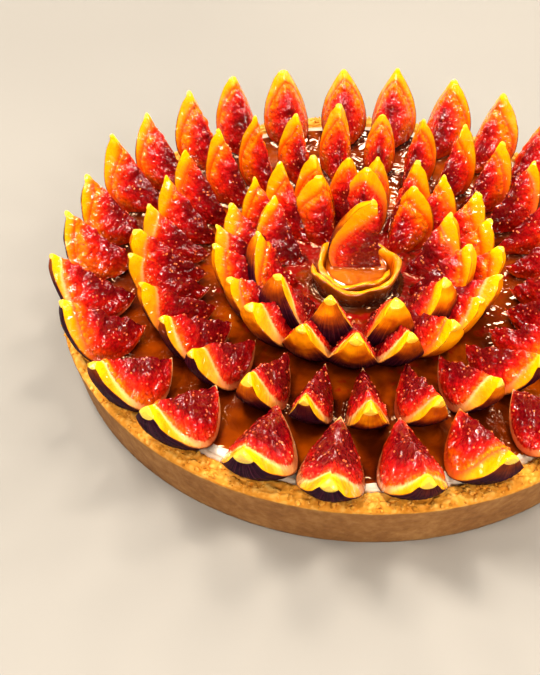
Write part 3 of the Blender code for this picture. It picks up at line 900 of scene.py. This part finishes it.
# %% The curled slice's finish
def curl_finish():
    """Flesh on the inside and peel on the outside, both brighter towards the upper edge, in grains and
    clouds; a smooth bump of its own for the coat."""
    made, tree, shader, place = new_finish("glazed_slice")
    up, inner = field(tree, "up"), field(tree, "inner")
    grains = grain(tree, place, 500.0, 3.0, 0.6)
    clouds = grain(tree, place, 160.0, 2.0, 0.5)
    flesh = ramp(tree, added(tree, up, offset(tree, clouds, 0.54, 0.9)),
                 (0.0, "#7a1a04"), (0.45, "#bc4604"), (0.8, "#e47404"), (1.0, "#f29a04"))
    peel = ramp(tree, added(tree, up, offset(tree, grains, 0.5, 0.8)),
                (0.0, "#1c0806"), (0.5, "#50200a"), (1.0, "#8a4408"))
    inside = between(tree, added(tree, inner, offset(tree, grains, 0.5, 0.25)), 0.12, 0.30)
    wet = bumped(tree, grain(tree, place, 170.0, 2.0, 0.45, 1.2), 1.0, 0.0026)
    finish_with(tree, shader, Base_Color=blend(tree, inside, peel, flesh), Roughness=0.3,
                Normal=bumped(tree, grains, 0.4, 0.0005), Coat_Normal=wet, Specular_IOR_Level=0.0,
                Coat_Weight=0.8, Coat_Roughness=0.02, Coat_IOR=1.5, Subsurface_Weight=0.12,
                Subsurface_Radius=(1.0, 0.45, 0.15), Subsurface_Scale=0.003)
    return made


glazed_slice = curl_finish()
print("slice finish:", len(glazed_slice.node_tree.nodes), "nodes")

# %% [markdown]
# The spiral turns nearly one and a half times. Both its ends taper to a thin edge, and the strip is thicker
# at its upper edge, where it has dried and swollen in waves.

# %% The curled slice
HEART = np.array([-0.0013, -0.0078])
CURL = dict(radius=0.0182, pitch=0.0034, thickness=0.0026, height=0.0110, flare=0.0018, edge=0.0011,
            wave=0.0009, start=180.0, stop=700.0, taper=9.0)      # the last three in degrees
CURL_ROWS, SIDE_POINTS, EDGE_POINTS = 261, 15, 7


def curl_surface():
    """A ribbon along a spiral: the radius shrinks evenly with the angle; the section is a strip with
    rounded corners, from the foot up the outside, over the edge and down the inside."""
    degrees = np.linspace(CURL["start"], CURL["stop"], CURL_ROWS)[:, None]
    turn = np.radians(degrees)
    radius = CURL["radius"] - CURL["pitch"] * (degrees - CURL["start"]) / 360.0
    height = CURL["height"] * (1.0 + 0.08 * np.sin(2.3 * turn) + 0.07 * np.sin(5.1 * turn + 1.0))
    rise, flat = np.linspace(0.0, 1.0, SIDE_POINTS), np.ones(SIDE_POINTS)
    arch = np.linspace(0.0, np.pi, EDGE_POINTS + 2)[1:-1]
    across = np.concatenate([0.5 * flat, 0.5 * np.cos(arch), -0.5 * flat])[None, :]
    over = CURL["edge"] * np.concatenate([-flat, np.sin(arch) - 1.0, -flat])[None, :]
    up = np.concatenate([rise, np.ones(EDGE_POINTS), rise[::-1]])[None, :]
    ends = np.minimum(smooth_step(degrees, CURL["start"], CURL["start"] + CURL["taper"]),
                      smooth_step(-degrees, -CURL["stop"], CURL["taper"] - CURL["stop"]))
    thin = CURL["thickness"] * (0.25 + 0.75 * ends) * (0.8 + 0.30 * up ** 2 + 0.20 * np.sin(7.3 * turn) * up)
    z = up * height + over * (up > 0)
    plain = np.stack(np.broadcast_arrays(radius * np.cos(turn), radius * np.sin(turn), z), axis=-1)
    wave = CURL["wave"] * rough(plain, 0.006, 2, 21) * up
    r = radius + across * thin + CURL["flare"] * (z / CURL["height"] - 0.5) + wave
    grid = np.stack([HEART[0] + r * np.cos(turn), HEART[1] + r * np.sin(turn),
                     FIG_FLOOR - 0.0004 + np.broadcast_to(z, r.shape)], axis=-1)
    points = np.concatenate([grid.reshape(-1, 3), [grid[0].mean(0), grid[-1].mean(0)]])
    values = {name: np.append(np.broadcast_to(value, r.shape).ravel(), [0.5, 0.5])
              for name, value in (("up", up), ("inner", 0.5 - across))}
    return points, *closed_faces(*r.shape), values


points, quads, triangles, values = curl_surface()
feet.append(points)
make_piece("rolled_slice", points, quads, triangles, glazed_slice, ("fig_centre_curl",), values)
print("rolled slice:", len(points), "points")

# %% [markdown]
# ## The crust
# Shortcrust baked in a ring has a smooth, pale wall, where the dough was pressed against the metal, and a
# crumbly golden top edge, where it was trimmed. The case is a profile turned round the axis; lumps with
# creases between them, which is noise with its negative half folded up, break up the edge.

# %% The crust's finish
def crust_finish():
    """Baked says how golden the place is and pits how deep it lies, and the top is darker where it lies deep:
    painted shade in the creases between the crumbs. Crumbs, patches and dark specks are noise of three sizes."""
    made, tree, shader, place = new_finish("shortcrust")
    baked, pits = field(tree, "baked"), field(tree, "pits")
    fine = grain(tree, place, 900.0, 3.0, 0.6)
    crumb = grain(tree, place, 330.0, 3.0, 0.55)
    patches = grain(tree, place, 60.0, 2.0, 0.5)
    wall = ramp(tree, added(tree, scaled(tree, crumb, 0.6), scaled(tree, patches, 0.5)),
                (0.30, "#80552e"), (0.52, "#9a6b3c"), (0.75, "#b28450"))
    # painted shade: the top's colour is darker in the creases between the crumb lumps
    top = ramp(tree, added(tree, scaled(tree, crumb, 0.5), scaled(tree, pits, 0.6)),
               (0.15, "#b47018"), (0.42, "#d08824"), (0.68, "#e29c36"), (0.95, "#eebc62"))
    golden = between(tree, added(tree, baked, offset(tree, patches, 0.5, 0.5)), 0.3, 0.75)
    specks = scaled(tree, between(tree, fine, 0.62, 0.72), 0.35)
    surface = blend(tree, specks, blend(tree, golden, wall, top), colour("#7e5420"))
    normal = bumped(tree, added(tree, scaled(tree, fine, 0.5), crumb), 0.7, 0.0006)
    finish_with(tree, shader, Base_Color=surface, Roughness=0.82, Normal=normal, Specular_IOR_Level=0.3,
                Subsurface_Weight=0.06, Subsurface_Radius=(1.0, 0.6, 0.3), Subsurface_Scale=0.002)
    return made


shortcrust = crust_finish()
print("crust finish:", len(shortcrust.node_tree.nodes), "nodes")

# %% [markdown]
# The profile runs from the middle of the underside out to the foot, up the wall, over the crumbly rim and
# down inside to the base. Only the rim has strong relief, which is cut into the form and never added to it,
# so that the case keeps its size.

# %% The crust
CASE = dict(radius=0.130, foot=0.1255, height=0.0256, base=0.005, rim=0.0095)
CASE_COLUMNS = 1250
BIG_LUMPS, SMALL_LUMPS, FINE_GRAINS, SWELLS, WALL_GRAINS = 0.0029, 0.0017, 0.0012, 0.019, 0.0030      # cells
PIT_DEPTH, DEEPEST_PIT, PIT_INWARDS = 0.0015, 1.4, 0.35
WALL_ROUGHNESS, RIM_ROUGHNESS = 0.00012, 0.0004


def case_profile():
    """The turned profile, with its rows of radius, height and share of the crumb relief: straight runs
    between a few points, each cut into a number of steps."""
    outer, foot, height = CASE["radius"], CASE["foot"], CASE["height"]
    inner = outer - CASE["rim"]
    # radius, height, share of the crumb relief, steps to the next point
    corners = np.array((
        (0.030, 0.0, 0.0, 3), (foot - 0.0014, 0.0, 0.0, 2), (foot - 0.0003, 0.0005, 0.05, 3),
        (foot + 0.0002, 0.0016, 0.10, 22), (outer - 0.0006, height - 0.0032, 0.14, 5),
        (outer - 0.0005, height - 0.0014, 0.5, 4), (outer - 0.0016, height - 0.0001, 0.9, 3),
        (outer - 0.0034, height, 1.0, 10), (inner + 0.0010, height, 1.0, 4),
        (inner - 0.0001, height - 0.0014, 0.6, 2), (inner - 0.0001, height - 0.0060, 0.0, 1),
        (inner - 0.0001, CASE["base"], 0.0, 1)))
    steps = corners[:-1, 3].astype(int)
    start = np.repeat(np.arange(len(steps)), steps)
    part = np.concatenate([np.arange(count) / count for count in steps])[:, None]
    runs = corners[start, :3] * (1 - part) + corners[start + 1, :3] * part
    return np.concatenate([runs, corners[-1:, :3]])


def crust_surface():
    """The profile turned round the axis, with crumb relief that only goes down and in: pits are 1 less the
    lumps, so creases run between the lumps. Rows run along the profile and columns round the axis."""
    line = case_profile()
    turn = np.linspace(0.0, 2.0 * np.pi, CASE_COLUMNS + 1)[None, :-1]
    r, z, share = (np.broadcast_to(line[:, i:i + 1], (len(line), turn.size)) for i in range(3))
    place = np.stack([r * np.cos(turn), r * np.sin(turn), z], axis=-1)
    lumps = np.maximum(pebbles(place, BIG_LUMPS, 51), 0.9 * pebbles(place, SMALL_LUMPS, 52))
    pit = 1.05 - 1.25 * lumps + 0.10 * rough(place, FINE_GRAINS, 2, 57) + 0.22 * rough(place, SWELLS, 2, 61)
    drop = share * PIT_DEPTH * np.clip(pit, 0.0, DEEPEST_PIT)
    grains = np.clip(0.5 + rough(place, WALL_GRAINS, 3, 71), 0.0, 1.5)
    sink = (WALL_ROUGHNESS + RIM_ROUGHNESS * share) * grains * (z > 0.0002)
    toward = np.where(r > CASE["radius"] - CASE["rim"] / 2, -1.0, 1.0)
    radius = r + toward * (sink + PIT_INWARDS * drop * (share < 0.95))
    top = z - drop * smooth_step(z, 0.01, 0.02)
    grid = np.stack([radius * np.cos(turn), radius * np.sin(turn), top], axis=-1)
    points = np.concatenate([grid.reshape(-1, 3), [[0.0, 0.0, 0.0], [0.0, 0.0, CASE["base"]]]])
    golden = smooth_step(z, CASE["height"] - 0.0042, CASE["height"] - 0.0012)
    baked = golden * (r > CASE["radius"] - CASE["rim"] - 0.001)
    # pits is 1 on the lumps and 0 deep in the creases, where the finish paints shade
    values = dict(baked=np.append(baked.ravel(), [0.0, 0.0]),
                  pits=np.append(np.clip(1.0 - pit, 0.0, 1.0).ravel(), [0.5, 0.5]))
    return points, *closed_faces(*r.shape), values


points, quads, triangles, values = crust_surface()
make_piece("pastry_case", points, quads, triangles, shortcrust, ("crust",), values)
print("pastry case:", 2 * len(quads) + len(triangles), "triangles")

# %% [markdown]
# Trimming the dough leaves loose crumbs on the rim. They are the scattered balls again, larger than the
# seeds and roughened with relief, each moved along its own radius.

# %% Crumbs
CRUMBS = 1500
SMALLEST, GROWS_BY = 0.00040, 0.00070      # radius of the smallest crumb, and what the largest has more
RIM_MARGIN = 0.0008


def crumb_finish():
    """Golden crumb in three tints, dry and matt, with a fine bump."""
    made, tree, shader, place = new_finish("crumb")
    tint = ramp(tree, grain(tree, place, 420.0, 2.0), (0.32, "#c47e22"), (0.5, "#e09c36"), (0.68, "#f0bc62"))
    normal = bumped(tree, grain(tree, place, 1500.0, 2.0), 0.6, 0.0003)
    finish_with(tree, shader, Base_Color=tint, Roughness=0.85, Normal=normal, Specular_IOR_Level=0.25)
    return made


rng = np.random.default_rng(91)
turn = rng.uniform(0.0, 2.0 * np.pi, CRUMBS)
size = SMALLEST + GROWS_BY * rng.uniform(0.0, 1.0, CRUMBS) ** 2
away = CASE["radius"] - RIM_MARGIN - (CASE["rim"] - 0.0018) * rng.uniform(0.0, 1.0, CRUMBS)
spots = np.stack([away * np.cos(turn), away * np.sin(turn), CASE["height"] - 0.0009 + 0.25 * size], axis=-1)
up = rng.normal(size=(CRUMBS, 3))
frames = random_frames(rng, up / np.linalg.norm(up, axis=1, keepdims=True))
sizes = size[:, None] * rng.uniform(0.65, 1.1, (CRUMBS, 3))
points, triangles = scatter(ball(5, 8), spots, frames, sizes)
own = np.repeat(spots, len(points) // CRUMBS, axis=0)
points = own + (points - own) * (1.0 + 0.45 * relief(points, 0.0007, 131))[:, None]
make_piece("crumbs", points, NO_QUADS, triangles, crumb_finish())
print("crumbs:", CRUMBS, "triangles:", len(triangles))

# %% [markdown]
# ## Cream
# Mascarpone is smooth and soft, and at its edge it is smeared against the pastry. Only a thin strip of it
# shows inside the rim. It is a layer with a wavy top, on a grid that runs round the axis.

# %% Layers
def disc(radii, columns):
    """The places of a polar grid, row by row from the middle out, and their radius."""
    turn = np.linspace(0.0, 2.0 * np.pi, columns + 1)[None, :-1]
    r = np.broadcast_to(np.asarray(radii)[:, None], (len(radii), columns))
    return np.stack([r * np.cos(turn), r * np.sin(turn)], axis=-1).reshape(-1, 2), r.ravel()


def layer_surface(radii, columns, heights, bottom, bottom_radius):
    """A closed layer: a polar grid with the given heights on top, and a flat underside."""
    flat, _ = disc([*radii, bottom_radius], columns)
    z = np.concatenate([heights, np.full(columns, bottom)])
    points = np.concatenate([np.column_stack([flat, z]), [[0, 0, heights[:columns].mean()], [0, 0, bottom]]])
    return points, *closed_faces(len(radii) + 1, columns)


print("a disc of 2 rows by 3 columns:", np.round(disc([0.0, 0.001], 3)[0], 4).tolist())

# %% [markdown]
# The cream's finish runs from beige to nearly white, in slow swirls as from a knife. Towards the rim its top
# drops a little, unevenly, where it was smeared against the pastry.

# %% Cream
CREAM = dict(radius=0.1202, top=0.0256, bottom=0.0053, swirl=0.00035, smear=0.0030, smear_drop=0.0018)
CREAM_ROWS, CREAM_COLUMNS = 60, 720


def cream_finish():
    """Two sizes of noise tint it between cream and white and ruffle it a little; a thin coat shines."""
    made, tree, shader, place = new_finish("mascarpone")
    swirls = grain(tree, place, 90.0, 2.0, 0.5, 0.6)
    fine = grain(tree, place, 420.0, 3.0, 0.6)
    surface = ramp(tree, added(tree, scaled(tree, swirls, 0.7), scaled(tree, fine, 0.3)),
                   (0.3, "#d2baa2"), (0.5, "#e2d0be"), (0.7, "#ebdfd2"))
    normal = bumped(tree, added(tree, swirls, scaled(tree, fine, 0.4)), 0.5, 0.0009)
    finish_with(tree, shader, Base_Color=surface, Roughness=0.4, Normal=normal, Coat_Weight=0.4,
                Coat_Roughness=0.15, Subsurface_Weight=0.2, Subsurface_Radius=(1.0, 0.8, 0.6),
                Subsurface_Scale=0.003)
    return made


radii = CREAM["radius"] - 0.118 * (1.0 - np.linspace(0.0, 1.0, CREAM_ROWS))
places, r = disc(radii, CREAM_COLUMNS)
flat = np.column_stack([places, 0 * r])
edge = smooth_step(r, CREAM["radius"] - CREAM["smear"], CREAM["radius"])
swirl = CREAM["swirl"] * rough(flat, 0.014, 3, 81) * smooth_step(r, 0.0, 0.1)
heights = CREAM["top"] + swirl - CREAM["smear_drop"] * edge * (0.7 + 0.6 * relief(flat, 0.008, 83))
points, quads, triangles = layer_surface(radii, CREAM_COLUMNS, heights, CREAM["bottom"], CREAM["radius"])
make_piece("cream", points, quads, triangles, cream_finish(), ("mascarpone_cream",))
print("cream:", 2 * len(quads) + len(triangles), "triangles")

# %% [markdown]
# ## Glaze
# The glaze is a clear syrup. It climbs a little way up every wedge, and where it is deep it is amber,
# because each millimetre takes out blue first and then green. So the glaze is a thin sheet of its own,
# coloured by its depth. Near the middle, bits of pulp swim in it and make it lumpy and red.

# %% Glaze: its finish and its depth
def foot_distance(places, feet, height, reach):
    """How far each place on the cream is from the nearest foot, up to reach. A foot is those points of a
    wedge, or of the rolled slice, that lie lower than height."""
    nearest = np.full(len(places), reach)
    for points in feet:
        foot = points[points[:, 2] < height, :2]
        if not len(foot):
            continue
        low, high = foot.min(0) - reach, foot.max(0) + reach
        inside = np.flatnonzero(np.all((places > low) & (places < high), axis=1))
        if len(inside):
            gap = np.sqrt(((places[inside, None, :] - foot[None, ::2, :]) ** 2).sum(-1)).min(1)
            nearest[inside] = np.minimum(nearest[inside], gap)
    return nearest


def glaze_finish(name, waves, coat):
    """Glaze by its depth; waves says how much its surface is ruffled, and coat how clear its shine is."""
    made, tree, shader, place = new_finish(name)
    clouds = grain(tree, place, 130.0, 2.0, 0.5, 0.5)
    deep = added(tree, field(tree, "depth"), offset(tree, clouds, 0.5, 0.35))
    amber = ramp(tree, deep, (0.0, "#ead0bc"), (0.12, "#d07c20"), (0.28, "#a44800"), (0.52, "#702802"),
                 (0.78, "#441202"), (1.0, "#280702"))
    shreds = offset(tree, grain(tree, place, 210.0, 2.0), 0.5, 1.4)
    juicy = between(tree, added(tree, field(tree, "pulpy"), shreds), 0.35, 0.75)
    wet = bumped(tree, grain(tree, place, 105.0, 2.0, 0.45, 0.8), waves, 0.0028)
    finish_with(tree, shader, Base_Color=blend(tree, juicy, amber, colour("#8e100a")), Roughness=0.06,
                Normal=wet, Specular_IOR_Level=0.45, Specular_Tint=colour("#ffc27a"), Coat_Normal=wet,
                Coat_Weight=coat, Coat_Roughness=0.02, Coat_IOR=1.6)
    return made


fruit_glaze = glaze_finish("fruit_glaze", 0.45, 0.25)
print("glaze finish:", len(fruit_glaze.node_tree.nodes), "nodes")

# %% [markdown]
# First comes the distance to the nearest foot. The sheet rises where that is small, and its depth is greatest
# there too, because the syrup pools in the gaps. Towards the rim it runs out to nothing along a wavy line.

# %% Glaze
GLAZE = dict(start=0.0015, stop=0.1192, bottom=0.0246, bottom_radius=0.1188, top=0.0249, thickness=0.0011)
GLAZE_ROWS, GLAZE_COLUMNS = 165, 600
GLAZE_REACH, CLIMB, CLIMB_REACH, POOLS_WITHIN = 0.0060, 0.0011, 0.0011, 0.0034
FOOT_TOP = FIG_FLOOR + 0.0006
PULPY = dict(share=0.62, full=0.030, none=0.100, keep_off=0.021, lump=0.0016, cell=0.0034)

radii = np.linspace(GLAZE["start"], GLAZE["stop"], GLAZE_ROWS)
places, r = disc(radii, GLAZE_COLUMNS)
flat = np.column_stack([places, 0 * r])
gap = foot_distance(places, feet, FOOT_TOP, GLAZE_REACH)
spread = 1.0 - smooth_step(r + 0.0030 * rough(flat, 0.022, 2, 91), 0.1135, 0.1180)
climb = CLIMB * np.exp(-(gap / CLIMB_REACH) ** 2)
heights = GLAZE["top"] + GLAZE["thickness"] * spread + climb * (0.35 + 0.65 * spread)
pools = np.clip(0.38 + 0.60 * np.exp(-gap / POOLS_WITHIN) + 0.30 * rough(flat, 0.017, 2, 97), 0.0, 1.0)
pulpy = PULPY["share"] * (1.0 - smooth_step(r, PULPY["full"], PULPY["none"]))
pulpy = pulpy * (np.hypot(*(places - HEART).T) > PULPY["keep_off"])
lumps = PULPY["lump"] * pulpy * pebbles(flat, PULPY["cell"], 99) * smooth_step(gap, 0.0004, 0.0020)
heights = heights + 0.00012 * rough(flat, 0.01, 2, 95) + lumps
points, quads, triangles = layer_surface(radii, GLAZE_COLUMNS, heights, GLAZE["bottom"],
                                         GLAZE["bottom_radius"])
values = dict(depth=np.concatenate([spread * pools, np.zeros(GLAZE_COLUMNS), [0.6, 0.0]]),
              pulpy=np.concatenate([pulpy, np.zeros(GLAZE_COLUMNS + 2)]))
make_piece("glaze", points, quads, triangles, fruit_glaze, (), values)
print("glaze:", 2 * len(quads) + len(triangles), "triangles")

# %% [markdown]
# The rolled slice holds a pool of syrup. It is a second, smaller layer of glaze, smoother and with a clearer
# shine, and it creeps up the slice and the upright wedge like any liquid at a wall.

# %% Syrup in the curl
POOL = dict(radius=0.0130, height=0.0076, creep=0.0013, creep_reach=0.0007, slab=0.0006)
POOL_ROWS, POOL_COLUMNS = 26, 120

radii = np.linspace(0.0006, POOL["radius"], POOL_ROWS)
places, r = disc(radii, POOL_COLUMNS)
level = FIG_FLOOR + POOL["height"]
upright = feet[-2]               # the points of the upright wedge; the rolled slice came after it
wetted = upright[np.abs(upright[:, 2] - level) < POOL["slab"], :2] - HEART
to_upright = np.sqrt(((places[:, None, :] - wetted[None]) ** 2).sum(-1)).min(1)
meniscus = np.exp(-to_upright / POOL["creep_reach"]) + np.exp(-(POOL["radius"] - r) / POOL["creep_reach"])
meniscus = np.clip(meniscus, 0.0, 1.0)
heights = level + POOL["creep"] * meniscus
points, quads, triangles = layer_surface(radii, POOL_COLUMNS, heights, FIG_FLOOR, POOL["radius"])
points[:, :2] += HEART
depth = np.concatenate([0.20 + 0.25 * meniscus, np.full(POOL_COLUMNS, 0.6), [0.4, 0.6]])
values = dict(depth=depth, pulpy=np.zeros(len(points)))
make_piece("syrup_in_curl", points, quads, triangles, glaze_finish("syrup", 0.15, 1.0), (), values)
print("syrup:", 2 * len(quads) + len(triangles), "triangles")

# %% [markdown]
# ## Floor and light
# The floor is plain and pale. It could be lit by panels alone, but their light fades with distance, and the
# far floor would be black in a low view. So the key is a soft sun from over the back left.

# %% Floor
FLOOR_HALF = 6.0


def floor_finish():
    """Pale grey paper, very slightly uneven."""
    made, tree, shader, place = new_finish("floor")
    tint = ramp(tree, grain(tree, place, 3.0, 2.0), (0.3, "#8e8c8a"), (0.7, "#969492"))
    finish_with(tree, shader, Base_Color=tint, Roughness=0.7)
    return made


floor_mesh = bpy.data.meshes.new("floor")
corners = [(x * FLOOR_HALF, y * FLOOR_HALF, 0.0) for x, y in ((-1, -1), (1, -1), (1, 1), (-1, 1))]
floor_mesh.from_pydata(corners, [], [(0, 1, 2, 3)])
floor_mesh.materials.append(floor_finish())
floor = bpy.data.objects.new("floor", floor_mesh)
bpy.context.scene.collection.objects.link(floor)
print("floor:", 2.0 * FLOOR_HALF, "m square")

# %% [markdown]
# Wet fruit is told by its reflections. One soft sun gives the shape, and a panel fills in from the front.
# The short white lines come from two rings of panels, each about 0.3 m wide, because a smaller light would
# give glints too fine to see.

# %% Lights
LOOK_AT = Vector((0.0, 0.0, 0.03))
SUN = dict(place=(-0.40, 0.25, 1.10), power=1.7, tint="#fff6e8")
SUN_ANGLE = 18.0                 # degrees across, so that its shadows are soft
FILL = dict(place=(0.25, -1.0, 0.80), size=(0.36, 0.16), power=2.5, tint="#fff8f0")
SPARKS = dict(radius=0.85, first=25.0, heights=(0.75, 0.55, 0.80, 0.60, 0.90, 0.50, 0.70), size=(0.30, 0.11),
              power=3.6)
HIGH = dict(radius=0.40, first=70.0, heights=(1.05,) * 4, size=(0.26, 0.10), power=3.4)
RING_TINT, SKY_TINT, SKY, GAMMA = "#fff2de", "#e8ecf2", 0.08, 0.92


def hang(name, data, place, power, tint):
    """Put up a light that faces the tart."""
    data.energy, data.color = power, colour(tint)[:3]
    lamp = bpy.data.objects.new(name, data)
    lamp.location = place
    lamp.rotation_euler = (LOOK_AT - Vector(place)).to_track_quat("-Z", "Y").to_euler()
    bpy.context.scene.collection.objects.link(lamp)


def panel(name, place, size, power, tint):
    """A bright rectangle; its size is its width and its height."""
    data = bpy.data.lights.new(name, "AREA")
    data.shape = "RECTANGLE"
    data.size, data.size_y = size
    hang(name, data, place, power, tint)


def panel_ring(name, radius, first, heights, size, power):
    """Panels at even steps round the tart, each at its own height."""
    for i, height in enumerate(heights):
        turn = math.radians(first + 360.0 * i / len(heights))
        place = (radius * math.cos(turn), radius * math.sin(turn), height)
        panel(f"{name}_{i + 1}", place, size, power, RING_TINT)


sun = bpy.data.lights.new("key", "SUN")
sun.angle = math.radians(SUN_ANGLE)
hang("key", sun, **SUN)
panel("fill", **FILL)
panel_ring("spark", **SPARKS)
panel_ring("high", **HIGH)
world = bpy.data.worlds.new("studio")
world.use_nodes = True
sky = world.node_tree.nodes["Background"]
sky.inputs["Color"].default_value = colour(SKY_TINT)
sky.inputs["Strength"].default_value = SKY
bpy.context.scene.world = world
bpy.context.scene.view_settings.view_transform = "Standard"
bpy.context.scene.view_settings.gamma = GAMMA
